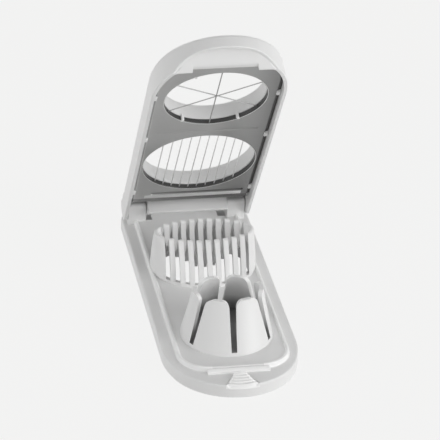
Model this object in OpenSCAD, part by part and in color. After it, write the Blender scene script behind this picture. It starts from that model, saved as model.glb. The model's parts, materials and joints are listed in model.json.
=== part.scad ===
// Egg slicer with a hinged cutting lid. The lid carries a steel plate strung with ten parallel
// wires over an oval comb, and three crossed wires over a six-petal cup for wedges.
// Origin: middle of the footprint on the table. +Z up, hinge along X at the +Y end.

/* [Base] */
// Width of the base and the lid
body_w = 80; // [79:0.5:90]
// Length of the base from its rear edge to its nose
body_l = 209; // [205:1:225]
// Height of the outer land under the lid's rim
land_h = 8; // [6.5:0.5:12]
// Thickness of the outer walls
wall_t = 2.2; // [1.6:0.1:2.6]
// Thickness of the base's top deck
deck_t = 2; // [1.4:0.1:3]
// Radius of the two rear corners
rear_corner_r = 5.5; // [4:0.5:9]
// Radius of the sides where they turn in to the nose
flank_r = 60; // [52:1:80]
// Amount by which the nose's radius is under half the width
nose_step = 1.6; // [1:0.2:5]
// Rise of the plateau above the land
plateau_h = 2; // [1:0.1:3]
// Gap in plan between the plateau and the lid's chord wall
plateau_gap = 0.6; // [0.4:0.1:2]
// Width of the land on each side of the plateau
land_w = 7; // [6:0.5:9]
// Front corner radius of the plateau
plateau_r = 18; // [12:1:24]
// Width of the rib round the plateau
rib_w = 2; // [1.2:0.1:3]
// Height of the rib above the plateau
rib_h = 1.1; // [0.5:0.1:1.6]
// Length of the bright ledge in front of the plateau
ledge_l = 36; // [20:1:38]
// Width of the ledge
ledge_w = 2.8; // [1.5:0.1:3.5]

/* [Thumb pad] */
// Width of the ridged pad at its rear
pad_rear_w = 8; // [4:0.5:12]
// Width of the pad at the nose
pad_front_w = 19; // [12:0.5:24]
// Height of the pad's rear edge above the land
pad_rise = 1; // [0.5:0.1:1.1]
// Depth of the pad's front edge below the land
pad_drop = 1.2; // [0:0.1:1.4]
// Number of ridges on the pad
tab_ridges = 5; // [3:1:6]
// Height of a ridge above the pad's face
ridge_h = 0.5; // [0.3:0.05:0.6]

/* [Comb] */
// Distance of the comb's centre from the hinge axis
comb_reach = 65.7; // [62:0.1:68]
// Gap in plan between each end of the comb's foot and the rim of the window over it
comb_gap = 1.7; // [1.5:0.1:4]
// Draw-in of each end of the comb from its foot to its top
comb_draft = 1.8; // [1.5:0.1:4]
// Half depth of the comb along the base at its foot
comb_foot_y = 28; // [24:0.5:30]
// Half depth of the comb along the base at its top
comb_top_y = 14.5; // [12:0.5:20]
// Height of the comb above the plateau
comb_h = 25; // [20:1:27]
// Depth of the bowl between the comb's two crests
bowl_depth = 19; // [14:1:20]
// Wall thickness of the comb
comb_t = 2.6; // [1.8:0.1:3.2]
// Number of slicing wires, and of slots in the comb
wire_count = 10; // [6:1:11]
// Distance from one slicing wire to the next
wire_pitch = 5.4; // [4:0.1:5.6]
// Width of a slot in the comb
slot_w = 2.4; // [1.6:0.1:3]

/* [Cup] */
// Distance of the cup's axis from the hinge axis
cup_reach = 145.3; // [145:0.1:145.8]
// Radius of the cup at its foot
cup_foot_r = 27.3; // [24:0.1:28]
// Half width of the cup across the base at its top
cup_top_x = 20.8; // [17:0.1:23]
// Half depth of the cup along the base at its top
cup_top_y = 15.8; // [14:0.1:20]
// Height of the cup above the plateau
cup_h = 30; // [24:1:32]
// Wall thickness of the cup's petals
cup_t = 2.6; // [1.8:0.1:3.5]
// Width of the gaps between the petals at their foot
petal_gap = 3.2; // [3:0.1:4]
// How much the gaps widen towards the petals' tops
petal_flare = 1.2; // [0:0.1:2]

/* [Lid] */
// Closed height of the lid's outer face above the hinge axis
lid_crown = 7.3; // [7:0.1:10]
// Gap between the closed lid's rim and the land
rim_gap = 0.25; // [0.2:0.05:1]
// Angle by which the lid stands open
lid_open = 55.06; // [0:1:103]
// Distance of the wedge window's axis from the hinge axis
wedge_reach = 146; // [145.7:0.1:146.6]
// Width of the lid left on each side of the window over the comb
window_side = 6; // [5.4:0.1:6.2]
// Radius of the window over the cup
wedge_window_r = 30; // [29:0.1:31.5]
// Wall thickness of the two window collars
collar_t = 2; // [1.2:0.1:2.3]
// Height of the grip wall left above the finger scoop
grip_h = 8.3; // [6:0.1:10]
// Depth of the finger scoop behind the nose
scoop_l = 13.9; // [10:0.1:15]
// Depth of the notch in the chord wall over the ledge
notch_h = 2.3; // [2.2:0.1:3]
// Step in of the lid's rounded crown edge
crown_step = 0.7; // [0.2:0.1:0.9]

/* [Cutting plate] */
// Depth of the plate's face below the hinge axis when closed
plate_drop = 5.1; // [4.8:0.1:5.6]
// Thickness of the steel sheet
plate_t = 0.8; // [0.5:0.1:1]
// Gap between the plate and the lid's side walls
plate_gap = 1.2; // [0.8:0.1:2]
// Distance from the hinge axis to the plate's rear edge
plate_rear = 20; // [14:1:26]
// Width of the bent-back margin along each side
margin_w = 4.2; // [2:0.1:4.6]
// Depth of the bent-back margin
margin_d = 2.6; // [1:0.1:3]
// Depth of the turned-in collar round each hole
hole_lip = 2.9; // [2.5:0.1:2.95]
// Extra radius of the plate's holes over the windows
hole_margin = 0.3; // [0.1:0.1:0.6]
// Diameter of the wires
wire_d = 0.7; // [0.4:0.1:0.8]
// Closed height of the slicing wires above the plate's face
wire_rise = 1.5; // [1.2:0.1:1.9]
// Length of the crimped sleeve on each wire end
crimp_l = 1.6; // [1:0.1:2]
// Wall thickness of a crimped sleeve
crimp_t = 0.25; // [0.15:0.05:0.3]

/* [Hinge] */
// Distance of the hinge axis from the base's rear edge
hinge_inset = 8; // [8:0.1:10]
// Height of the hinge axis above the land
hinge_h = 9.25; // [9:0.25:12]
// Diameter of the hinge pins
pin_d = 4; // [3:0.1:5]
// Radial running clearance of a pin in its post
pin_clearance = 0.05; // [0.02:0.01:0.1]
// Width of a hinge post
post_w = 11.4; // [8:0.1:12]
// Distance from the hinge axis to a post's front face
post_reach = 6.5; // [5:0.1:8]
// Thickness of the lid's inner cheeks
cheek_t = 2.4; // [1.6:0.1:3]
// Side gap between the posts and the lid
hinge_side_gap = 0.4; // [0.3:0.1:0.8]

/* [Hidden] */

$fn = 64;
cut = 1;            // overshoot of a cutting solid past the face that it opens
ring_sides = 64;    // sides of an oval ring of the comb
ring_steps = 8;     // rings from foot to top of the comb
petals = 6;

// Frame of the closed part
half_w = body_w / 2;
rear_y = body_l / 2;
nose_y = -body_l / 2;
axis_y = rear_y - hinge_inset;
axis_z = land_h + hinge_h;

// Outline: straight sides, two flank arcs and the nose arc, all tangent
nose_r = half_w - nose_step;
flank_x = flank_r - half_w;
flank_dy = sqrt((flank_r - nose_r) * (flank_r - nose_r) - flank_x * flank_x);
nose_cy = nose_y + nose_r;
flank_cy = nose_cy + flank_dy;
flank_a = atan2(flank_dy, flank_x);

// Heights of the closed part
floor_z = land_h + plateau_h;
rib_z = floor_z + rib_h;
rim_z = land_h + rim_gap;
crown_z = axis_z + lid_crown;
ceiling_z = crown_z - wall_t;
plate_z = axis_z - plate_drop;
lip_z = plate_z + hole_lip;
collar_z = lip_z + 0.15;
wire_z = plate_z + wire_rise;

// Chord wall that closes the lid behind the finger scoop
chord_y = nose_y + scoop_l;
chord_rear_y = chord_y + wall_t;

// Thumb pad, from just in front of the chord wall to the nose
pad_rear_y = chord_y - 2;
pad_l = pad_rear_y - nose_y;

// Plateau
plateau_x = half_w - land_w;
plateau_front = chord_rear_y + plateau_gap;
plateau_rear = axis_y - post_reach;
rear_wall_front = plateau_rear - 1.6;
wall_swing_r = norm([axis_y - rear_wall_front, axis_z - rim_z]);
plateau_back = axis_y - sqrt(pow(wall_swing_r + 0.3, 2) - pow(axis_z - floor_z, 2));

// Places of the comb, the cup and the windows
comb_y = axis_y - comb_reach;
cup_y = axis_y - cup_reach;
wedge_y = axis_y - wedge_reach;
slice_window_r = half_w - window_side;
comb_foot_x = slice_window_r - comb_gap;
comb_top_x = comb_foot_x - comb_draft;
comb_foot_z = floor_z;
comb_top_z = floor_z + comb_h;
cup_top_z = floor_z + cup_h;
slot_z = wire_z - wire_d / 2 - 1.4;
spigot_h = 1.2;
spigot_gap = 0.15;
spigot_inset = 2.4;
crimp_r = wire_d / 2 + crimp_t;
crimp_gap = 0.05;

// Hinge
ear_x = half_w - wall_t - 0.3;
post_out_x = ear_x - hinge_side_gap;
post_in_x = post_out_x - post_w;
cheek_x = post_in_x - hinge_side_gap;
barrel_r = lid_crown - wall_t - 0.5;
ear_r = min(hinge_inset - 0.2, hinge_h - 1.45);
pin_start = cheek_x - cheek_t - 0.4;
pin_end = ear_x + 1.4;
post_top_z = ceiling_z - 0.8;

function arc(c, r, a0, a1, n) = [for (i = [0:n]) let (a = a0 + (a1 - a0) * i / n) c + r * [cos(a), sin(a)]];

// Outline of base and lid, drawn in by the same distance all round
function outline(inset) = concat(
    arc([half_w - rear_corner_r, rear_y - rear_corner_r], rear_corner_r - inset, 0, 90, 6),
    arc([rear_corner_r - half_w, rear_y - rear_corner_r], rear_corner_r - inset, 90, 180, 6),
    arc([flank_x, flank_cy], flank_r - inset, 180, 180 + flank_a, 8),
    arc([0, nose_cy], nose_r - inset, 180 + flank_a, 360 - flank_a, 32),
    arc([-flank_x, flank_cy], flank_r - inset, 360 - flank_a, 360, 8)
);

// Outline of the plateau, with a straight rear end that can be drawn in on its own
function plateau_outline(inset, rear_inset) = concat(
    [[plateau_x - inset, plateau_rear - rear_inset], [inset - plateau_x, plateau_rear - rear_inset]],
    arc([plateau_r - plateau_x, plateau_front + plateau_r], plateau_r - inset, 180, 270, 10),
    arc([plateau_x - plateau_r, plateau_front + plateau_r], plateau_r - inset, 270, 360, 10)
);

// Solid with oval rings, given as [half x, half y, z] from the lowest to the highest
module oval_loft(rings) {
    n = ring_sides;
    points = [for (r = rings) for (i = [0:n - 1]) [r[0] * cos(360 * i / n), r[1] * sin(360 * i / n), r[2]]];
    sides = [for (k = [0:len(rings) - 2]) for (i = [0:n - 1]) let (j = (i + 1) % n)
        [k * n + i, k * n + n + i, k * n + n + j, k * n + j]];
    foot = [for (i = [0:n - 1]) i];
    head = [for (i = [n - 1:-1:0]) (len(rings) - 1) * n + i];
    polyhedron(points, concat(sides, [foot, head]), convexity = 6);
}

function blend(a, b, s) = a + (b - a) * s;

// Rings of the comb's domed outside, drawn in by the given wall
function comb_rings(inset, z0, z1) = [for (i = [0:ring_steps])
    let (s = i / ring_steps, bulge = cos(90 * s))
    [blend(comb_top_x, comb_foot_x, bulge) - inset, blend(comb_top_y, comb_foot_y, bulge) - inset,
        blend(z0, z1, s)]];

// Rings of the bowl, grown by the given wall
function bowl_rings(grow) = [for (i = [0:ring_steps])
    let (s = i / ring_steps, wide = sin(12 + 78 * s))
    [(comb_top_x - comb_t) * wide + grow, (comb_top_y - comb_t) * wide + grow,
        comb_top_z + 0.01 * s - grow * (1 - s) - bowl_depth * (1 - s)]];

// Places of the slicing wires across the part
function wire_x(i) = (i - (wire_count - 1) / 2) * wire_pitch;

module ring_hole(r, z0, z1) {
    translate([0, 0, z0]) cylinder(h = z1 - z0, r = r);
}

// Cylinder along X on the hinge axis
module on_axis(r, x0, x1) {
    translate([x0, axis_y, axis_z]) rotate([0, 90, 0]) cylinder(h = x1 - x0, r = r);
}

// Moves what is drawn for the closed lid to the lid's open place
module opened() {
    translate([0, axis_y, axis_z]) rotate([-lid_open, 0, 0]) translate([0, -axis_y, -axis_z]) children();
}

module mirrored(side) {
    mirror([side < 0 ? 1 : 0, 0, 0]) children();
}

module hinge_post() {
    difference() {
        union() {
            on_axis(barrel_r, post_in_x, post_out_x);
            translate([post_in_x, axis_y - barrel_r, land_h - deck_t])
                cube([post_w, 2 * barrel_r, axis_z - land_h + deck_t]);
            translate([post_in_x, axis_y - post_reach, land_h - deck_t])
                cube([post_w, post_reach, post_top_z - land_h + deck_t - 2]);
            translate([post_in_x, axis_y - post_reach + 2, land_h - deck_t])
                cube([post_w, post_reach - 2, post_top_z - land_h + deck_t]);
            translate([post_in_x, axis_y - post_reach + 2, post_top_z - 2])
                rotate([0, 90, 0]) cylinder(h = post_w, r = 2);
        }
        on_axis(pin_d / 2 + pin_clearance, post_in_x - cut, post_out_x + cut);
    }
}

// Height of the thumb pad's face at a distance in front of its rear edge
function pad_z(back) = land_h + pad_rise - (pad_rise + pad_drop) * back / pad_l;

// Plan of the thumb pad, which widens towards the nose
module pad_plan() {
    intersection() {
        polygon(outline(0));
        polygon([[-pad_rear_w / 2, pad_rear_y], [pad_rear_w / 2, pad_rear_y],
            [pad_front_w / 2, nose_y], [pad_front_w / 2, nose_y - cut],
            [-pad_front_w / 2, nose_y - cut], [-pad_front_w / 2, nose_y]]);
    }
}

// What the sloping face of the pad cuts off the land's edge
module pad_cut() {
    intersection() {
        linear_extrude(rib_z) pad_plan();
        along_x(body_w) polygon([[pad_rear_y, pad_z(0)], [nose_y - cut, pad_z(pad_l + cut)],
            [nose_y - cut, rib_z], [pad_rear_y, rib_z]]);
    }
}

module thumb_pad() {
    step = pad_l / tab_ridges;
    intersection() {
        linear_extrude(rib_z) pad_plan();
        along_x(body_w) polygon(concat(
            [[pad_rear_y, land_h - deck_t]],
            [for (i = [0:tab_ridges - 1]) each [
                [pad_rear_y - i * step, pad_z(i * step)],
                [pad_rear_y - (i + 0.25) * step, pad_z((i + 0.25) * step) + ridge_h],
                [pad_rear_y - (i + 0.6) * step, pad_z((i + 0.6) * step) + ridge_h],
                [pad_rear_y - (i + 0.85) * step, pad_z((i + 0.85) * step)]]],
            [[nose_y, pad_z(pad_l)], [nose_y, land_h - deck_t]]));
    }
}

module base_tray() {
    color("white") union() {
        difference() {
            union() {
                linear_extrude(land_h) polygon(outline(0));
                linear_extrude(floor_z) polygon(plateau_outline(0, 0));
                linear_extrude(rib_z) difference() {
                    polygon(plateau_outline(0, 0));
                    polygon(plateau_outline(rib_w, 0));
                }
                translate([-ledge_l / 2, plateau_front - ledge_w, land_h - deck_t])
                    cube([ledge_l, ledge_w + rib_w / 2, deck_t + plateau_h]);
            }
            translate([0, 0, -cut]) linear_extrude(land_h - deck_t + cut) polygon(outline(wall_t));
            linear_extrude(floor_z - deck_t)
                polygon(plateau_outline(rib_w + 1, plateau_rear - plateau_back + deck_t));
            translate([-post_in_x, plateau_back, land_h])
                cube([2 * post_in_x, plateau_rear - plateau_back + cut, rib_z]);
            translate([0, comb_y, floor_z]) linear_extrude(rib_h + cut)
                polygon(oval(comb_foot_x + spigot_gap, comb_foot_y + spigot_gap));
            translate([0, comb_y, 0])
                oval_hole(comb_foot_x - spigot_inset, comb_foot_y - spigot_inset);
            translate([0, cup_y, 0]) ring_hole(cup_foot_r - spigot_inset, -cut, floor_z + cut);
            for (side = [-1, 1])
                translate([side * (cheek_x - 2) - 2.4, axis_y - 1.5, -cut])
                    cube([4.8, 7, land_h + 2 * cut]);
            pad_cut();
        }
        for (side = [-1, 1]) mirrored(side) hinge_post();
        thumb_pad();
    }
}

function oval(rx, ry) = [for (i = [0:ring_sides - 1]) let (a = 360 * i / ring_sides) [rx * cos(a), ry * sin(a)]];

module oval_hole(rx, ry) {
    translate([0, 0, -cut]) linear_extrude(floor_z + 2 * cut) polygon(oval(rx, ry));
}

module comb_cradle() {
    spigot = spigot_inset + spigot_gap;
    color("white") translate([0, comb_y, 0]) difference() {
        union() {
            oval_loft(comb_rings(0, comb_foot_z, comb_top_z));
            oval_loft([[comb_foot_x - spigot, comb_foot_y - spigot, comb_foot_z - spigot_h],
                [comb_foot_x - spigot, comb_foot_y - spigot, comb_foot_z + 0.5]]);
        }
        oval_loft(bowl_rings(0));
        difference() {
            union() {
                oval_loft(comb_rings(comb_t, comb_foot_z + 0.4, comb_top_z - comb_t));
                oval_loft([for (z = [comb_foot_z - spigot_h - cut, comb_foot_z + 1.2])
                    [comb_foot_x - spigot - comb_t, comb_foot_y - spigot - comb_t, z]]);
            }
            oval_loft(bowl_rings(comb_t));
        }
        for (i = [0:wire_count - 1])
            translate([wire_x(i) - slot_w / 2, -comb_foot_y - cut, slot_z])
                cube([slot_w, 2 * (comb_foot_y + cut), comb_top_z]);
    }
}

// Rings of the cup's outside, round at the foot and oval at the top, drawn in by the given wall
function cup_rings(inset, z0, z1) = [for (i = [0:ring_steps])
    let (z = blend(z0, z1, i / ring_steps), lean = pow(max(0, 1 - z / cup_h), 1.12))
    [blend(cup_top_x, cup_foot_r, lean) - inset, blend(cup_top_y, cup_foot_r, lean) - inset, z]];

module wedge_cradle() {
    inner_floor = slot_z - floor_z;
    flare = petal_flare / 2 * (cup_h + cut - inner_floor) / (cup_h - inner_floor);
    color("white") translate([0, cup_y, floor_z]) difference() {
        union() {
            oval_loft(cup_rings(0, 0, cup_h));
            translate([0, 0, -spigot_h])
                cylinder(h = spigot_h + cut, r = cup_foot_r - spigot_inset - spigot_gap);
        }
        oval_loft(cup_rings(cup_t, inner_floor, cup_h + cut));
        for (i = [0:petals / 2 - 1])
            rotate([0, 0, 90 + 180 / (petals / 2) * i])
                translate([-cup_foot_r - cut, 0, 0]) rotate([90, 0, 90])
                    linear_extrude(2 * (cup_foot_r + cut)) polygon([
                        [-petal_gap / 2, inner_floor], [petal_gap / 2, inner_floor],
                        [petal_gap / 2 + flare, cup_h + cut], [-petal_gap / 2 - flare, cup_h + cut]]);
    }
}

// Finger scoop under the nose, as a profile of [y, z] points from the chord wall to the grip
function scoop_curve(back, up) = [for (i = [0:8])
    [chord_y - scoop_l * i / 8 + back, blend(rim_z, crown_z - grip_h, sin(90 * i / 8)) + up]];

module along_x(w) {
    translate([-w / 2, 0, 0]) rotate([90, 0, 90]) linear_extrude(w) children();
}

module lid_blank() {
    crown_slab = 1.6;
    translate([0, 0, rim_z]) linear_extrude(crown_z - rim_z - 2 * crown_slab) polygon(outline(0));
    translate([0, 0, crown_z - 2 * crown_slab - 0.01])
        linear_extrude(crown_slab + 0.01) polygon(outline(crown_step));
    translate([0, 0, crown_z - crown_slab - 0.01])
        linear_extrude(crown_slab + 0.01) polygon(outline(2 * crown_step));
}

module lid_cavity() {
    intersection() {
        translate([0, 0, -cut]) linear_extrude(ceiling_z + cut) polygon(outline(wall_t + crown_step));
        along_x(body_w) polygon(concat(
            [[rear_y, -cut], [rear_y, ceiling_z], [nose_y, ceiling_z]],
            [for (i = [8:-1:0]) scoop_curve(wall_t, wall_t)[i]],
            [[chord_rear_y, -cut]]));
    }
}

// What the lid leaves free behind its rear wall, for the posts and the turning room
module hinge_room() {
    rear_wall_y = rear_wall_front + wall_t;
    difference() {
        translate([-half_w - cut, rear_wall_y, -cut])
            cube([body_w + 2 * cut, body_l, crown_z + 2 * cut]);
        on_axis(ear_r, -half_w, half_w);
        translate([-half_w, rear_wall_y - cut, axis_z])
            cube([body_w, axis_y - rear_wall_y + cut, crown_z - axis_z]);
        for (side = [-1, 1])
            translate([side * (ear_x + half_w) / 2 - (half_w - ear_x) / 2, rear_wall_y - cut, rim_z])
                cube([half_w - ear_x, axis_y - rear_wall_y + cut, crown_z - rim_z]);
    }
    for (side = [-1, 1]) mirrored(side)
        translate([cheek_x, axis_y - post_reach - 1, -cut])
            cube([ear_x - cheek_x, body_l, ceiling_z + cut]);
    translate([cheek_t - cheek_x, rear_wall_y, -cut])
        cube([2 * (cheek_x - cheek_t), body_l, ceiling_z + cut]);
}

module rear_wall() {
    translate([-cheek_x, rear_wall_front, rim_z])
        cube([2 * cheek_x, wall_t, ceiling_z - rim_z + 0.5]);
    for (side = [-1, 1]) mirrored(side) {
        on_axis(ear_r - 2.4, cheek_x - cheek_t, cheek_x);
        translate([cheek_x - cheek_t, axis_y - post_reach, axis_z - ear_r + 2.4])
            cube([cheek_t, post_reach, ceiling_z - axis_z + ear_r - 2.4 + 0.2]);
    }
}

// Bosses that hold the plate: in front of the wedge window, between the windows and at the rear
boss_r = 2;
boss_front = 13;
boss_rear = 6;
boss_places = [[half_w - 9 * boss_r, nose_cy - boss_front], [half_w - 10 * boss_r, (comb_y + wedge_y) / 2 - boss_r],
    [half_w - 7 * boss_r, axis_y - plate_rear - boss_rear]];

module lid_shell() {
    color("white") opened() difference() {
        union() {
            difference() {
                lid_blank();
                lid_cavity();
                along_x(body_w) polygon(concat([[nose_y - cut, 0], [chord_y, 0]],
                    scoop_curve(0, 0), [[nose_y - cut, crown_z - grip_h]]));
                hinge_room();
            }
            rear_wall();
            translate([0, comb_y, 0]) ring_hole(slice_window_r + collar_t, collar_z, ceiling_z + 0.5);
            translate([0, wedge_y, 0]) ring_hole(wedge_window_r + collar_t, collar_z, ceiling_z + 0.5);
            for (p = boss_places) for (side = [-1, 1])
                translate([side * p[0], p[1], 0]) ring_hole(boss_r, plate_z + plate_t, ceiling_z + 0.5);
        }
        translate([0, comb_y, 0]) ring_hole(slice_window_r, 0, crown_z + cut);
        translate([0, wedge_y, 0]) ring_hole(wedge_window_r, 0, crown_z + cut);
        translate([-ledge_l / 2 - 1, chord_y - cut, 0])
            cube([ledge_l + 2, wall_t + 2 * cut, rim_z + notch_h]);
        for (side = [-1, 1]) mirrored(side) on_axis(pin_d / 2, pin_start, pin_end);
    }
}

// Turned-in collar of a plate hole, with a bore for each wire direction and height
module hole_collar(r) {
    difference() {
        ring_hole(r + plate_t, plate_z, lip_z);
        ring_hole(r, plate_z - cut, lip_z + cut);
    }
}

slice_hole_r = slice_window_r + hole_margin;
wedge_hole_r = wedge_window_r + hole_margin;

function wedge_wire_z(i) = plate_z + wire_d + 0.2 + 1.05 * wire_d * i;

module cutting_plate() {
    plate_x = half_w - wall_t - crown_step - plate_gap + 0.7;
    fold_x = plate_x - margin_w;
    color("silver") opened() difference() {
        union() {
            difference() {
                intersection() {
                    translate([0, plate_front_y(), 0]) linear_extrude(crown_z)
                        translate([-half_w, 0]) square([body_w, axis_y - plate_rear - plate_front_y()]);
                    linear_extrude(crown_z) polygon(outline(wall_t + crown_step + plate_gap - 0.7));
                    along_y() polygon([
                        [-plate_x, plate_z + margin_d], [-fold_x, plate_z], [fold_x, plate_z],
                        [plate_x, plate_z + margin_d], [plate_x, plate_z + margin_d + plate_t],
                        [fold_x - 0.3, plate_z + plate_t], [0.3 - fold_x, plate_z + plate_t],
                        [-plate_x, plate_z + margin_d + plate_t]]);
                }
                translate([0, comb_y, 0]) ring_hole(slice_hole_r, 0, crown_z);
                translate([0, wedge_y, 0]) ring_hole(wedge_hole_r, 0, crown_z);
            }
            translate([0, comb_y, 0]) hole_collar(slice_hole_r);
            translate([0, wedge_y, 0]) hole_collar(wedge_hole_r);
        }
        for (i = [0:wire_count - 1]) slicing_wire_at(i);
        for (i = [0:2]) wedge_wire_at(i);
        for (i = [0:2]) for (side = [-1, 1]) wedge_crimp_at(i, side) crimp_room();
    }
}

function plate_front_y() = chord_rear_y + 3;

module along_y() {
    translate([0, rear_y, 0]) rotate([90, 0, 0]) linear_extrude(body_l) children();
}

// Half length of a slicing wire, whose crimps stand just outside the plate's curved collar
function slicing_half(i) = let (x = max(0, abs(wire_x(i)) - crimp_r))
    sqrt(pow(slice_hole_r + plate_t, 2) - x * x) + crimp_gap + crimp_l;

module slicing_wire_at(i) {
    half = slicing_half(i);
    translate([wire_x(i), comb_y - half, wire_z]) rotate([-90, 0, 0]) cylinder(h = 2 * half, d = wire_d);
}

module wedge_wire_at(i) {
    half = wedge_hole_r + plate_t + crimp_gap + crimp_l;
    translate([0, wedge_y, wedge_wire_z(i)]) rotate([0, 0, 60 * i]) translate([0, -half, 0])
        rotate([-90, 0, 0]) cylinder(h = 2 * half, d = wire_d);
}

module slicing_wire(i) {
    color("lightgray") opened() slicing_wire_at(i);
}

module wedge_wire(i) {
    color("lightgray") opened() wedge_wire_at(i);
}

// Sleeve pressed on a wire end, from the plate's collar outwards
module crimp() {
    rotate([-90, 0, 0]) difference() {
        cylinder(h = crimp_l, r = crimp_r);
        translate([0, 0, -cut]) cylinder(h = crimp_l + 2 * cut, d = wire_d);
    }
}

module crimp_room() {
    translate([0, -crimp_gap / 2, 0])
        rotate([-90, 0, 0]) cylinder(h = crimp_l + crimp_gap, r = crimp_r + crimp_gap);
}

module wedge_crimp_at(i, side) {
    start = wedge_hole_r + plate_t + crimp_gap;
    translate([0, wedge_y, wedge_wire_z(i)]) rotate([0, 0, 60 * i + (side < 0 ? 180 : 0)])
        translate([0, start, 0]) children();
}

module slicing_wire_crimps() {
    color("gray") opened() for (i = [0:wire_count - 1]) for (side = [-1, 1])
        translate([wire_x(i), comb_y + side * (slicing_half(i) - crimp_l / 2) - crimp_l / 2, wire_z])
            crimp();
}

module wedge_wire_crimps() {
    color("gray") opened() for (i = [0:2]) for (side = [-1, 1]) wedge_crimp_at(i, side) crimp();
}

module hinge_pin(side) {
    color("silver") mirrored(side) on_axis(pin_d / 2, pin_start, pin_end);
}

base_tray();
comb_cradle();
wedge_cradle();
lid_shell();
cutting_plate();
for (i = [0:wire_count - 1])
    slicing_wire(i);
for (i = [0:2])
    wedge_wire(i);
slicing_wire_crimps();
wedge_wire_crimps();
hinge_pin(-1);  // hinge_pin_left
hinge_pin(1);  // hinge_pin_right
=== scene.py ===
"""Egg slicer: moulded white base, comb, petal cup and lid, a steel cutting plate and its wires.
Shapes are worked out in millimetres on the closed slicer, and the lid's pieces are then opened."""

import json
import math

import bmesh
import bpy
from mathutils import Matrix, Vector
from mathutils.geometry import tessellate_polygon

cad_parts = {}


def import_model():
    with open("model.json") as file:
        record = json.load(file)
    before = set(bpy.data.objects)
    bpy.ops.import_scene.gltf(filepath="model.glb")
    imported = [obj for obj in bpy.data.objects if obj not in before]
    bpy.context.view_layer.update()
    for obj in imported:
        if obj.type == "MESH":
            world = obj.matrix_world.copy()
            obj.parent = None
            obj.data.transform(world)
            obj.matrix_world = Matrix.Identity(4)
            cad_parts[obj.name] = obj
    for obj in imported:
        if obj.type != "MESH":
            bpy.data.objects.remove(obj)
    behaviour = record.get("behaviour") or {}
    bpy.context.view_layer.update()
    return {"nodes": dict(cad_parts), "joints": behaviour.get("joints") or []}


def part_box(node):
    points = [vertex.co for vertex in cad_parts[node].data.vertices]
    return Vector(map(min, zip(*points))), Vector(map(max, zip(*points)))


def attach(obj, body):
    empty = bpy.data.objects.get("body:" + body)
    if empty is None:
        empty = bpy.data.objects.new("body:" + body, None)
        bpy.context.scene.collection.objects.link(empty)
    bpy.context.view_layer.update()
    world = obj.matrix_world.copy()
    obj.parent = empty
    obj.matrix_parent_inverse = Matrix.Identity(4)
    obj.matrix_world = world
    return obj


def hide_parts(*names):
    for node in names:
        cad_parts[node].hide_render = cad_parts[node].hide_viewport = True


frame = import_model()

MM = 0.001
SIDES = ((-1, "left"), (1, "right"))

# ---- sizes of the slicer, in millimetres ----
base_low, base_high = (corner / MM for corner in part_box("base_tray"))
hinge = frame["joints"][0]
AXIS_Y, AXIS_Z = hinge["pos_m"][1] / MM, hinge["pos_m"][2] / MM
LID_OPEN = math.radians(hinge["range_deg"][1])
HALF_W, REAR_Y, NOSE_Y = base_high.x, base_high.y, base_low.y

WALL = 2.2                     # walls of the base and the lid
CORNER_R = 5.5                 # corners at the hinge
FLANK_R = 60.0                 # sides, where they draw in towards the nose
NOSE_R = 38.4

LAND_Z = 8.0                   # the base's edge, on which the lid closes
DECK_Z = LAND_Z - 2.0          # underside of the base's deck
FLOOR_Z = 10.0                 # plateau round the comb and the cup
RIB_Z, RIB_W = 11.1, 2.0       # raised rib along the plateau's edge

RIM_Z = LAND_Z + 0.25          # lower edge of the closed lid
CROWN_Z = AXIS_Z + 7.3         # top of the closed lid
CEILING_Z = CROWN_Z - WALL
LIP_Z = CROWN_Z - 8.3          # bottom of the grip wall at the nose
CHORD_REAR_Y = NOSE_Y + 16.1   # inner face of the lid's straight wall across the nose
NOTCH_X, NOTCH_H = 19.0, 2.3   # half width and height of the notch in that wall

PLATE_Z = AXIS_Z - 5.1         # face of the closed cutting plate
PLATE_T = 0.8
COLLAR_Z = PLATE_Z + 3.1       # lower end of the lid's window collars

COMB_Y = AXIS_Y - 65.7
CUP_Y = AXIS_Y - 145.3
WEDGE_Y = AXIS_Y - 146.0       # middle of the wedge window
SLICE_R, WEDGE_R = 34.0, 30.0  # windows over the comb and over the cup
WIRES, WIRE_PITCH = 10, 5.4
SLOT_W = 2.4
SLOT_Z = PLATE_Z - 0.25        # bottom of the slots in the comb and the cup

PLATEAU_X, PLATEAU_R = HALF_W - 7.0, 18.0
PLATEAU_FRONT = CHORD_REAR_Y + 0.6


# ---- outlines ----
def arc(centre, radius, start, end, steps):
    """Points on a circular arc, with angles in degrees."""
    angles = [math.radians(start + (end - start) * i / steps) for i in range(steps + 1)]
    return [(centre[0] + radius * math.cos(a), centre[1] + radius * math.sin(a)) for a in angles]


FLANK_X = FLANK_R - HALF_W
FLANK_DY = math.sqrt((FLANK_R - NOSE_R) ** 2 - FLANK_X ** 2)
NOSE_CY = NOSE_Y + NOSE_R
FLANK_CY = NOSE_CY + FLANK_DY
FLANK_A = math.degrees(math.atan2(FLANK_DY, FLANK_X))


def outline(inset):
    """Footprint of the base and the lid, drawn in by inset."""
    corner = CORNER_R - inset
    return (arc((HALF_W - CORNER_R, REAR_Y - CORNER_R), corner, 0, 90, 8)
            + arc((CORNER_R - HALF_W, REAR_Y - CORNER_R), corner, 90, 180, 8)
            + arc((FLANK_X, FLANK_CY), FLANK_R - inset, 180, 180 + FLANK_A, 12)
            + arc((0, NOSE_CY), NOSE_R - inset, 180 + FLANK_A, 360 - FLANK_A, 64)[1:-1]
            + arc((-FLANK_X, FLANK_CY), FLANK_R - inset, 360 - FLANK_A, 360, 12))


def oval(half_x, half_y, centre_y, steps=96):
    """Points round an ellipse that is centred on the slicer's middle line."""
    turns = [2 * math.pi * i / steps for i in range(steps)]
    return [(half_x * math.cos(a), centre_y + half_y * math.sin(a)) for a in turns]


def at(points, z):
    """Flat points, raised to a height."""
    return [(x, y, z) for x, y in points]


def blend(a, b, share):
    """A value between a, at a share of 0, and b, at 1."""
    return a + (b - a) * share


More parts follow.
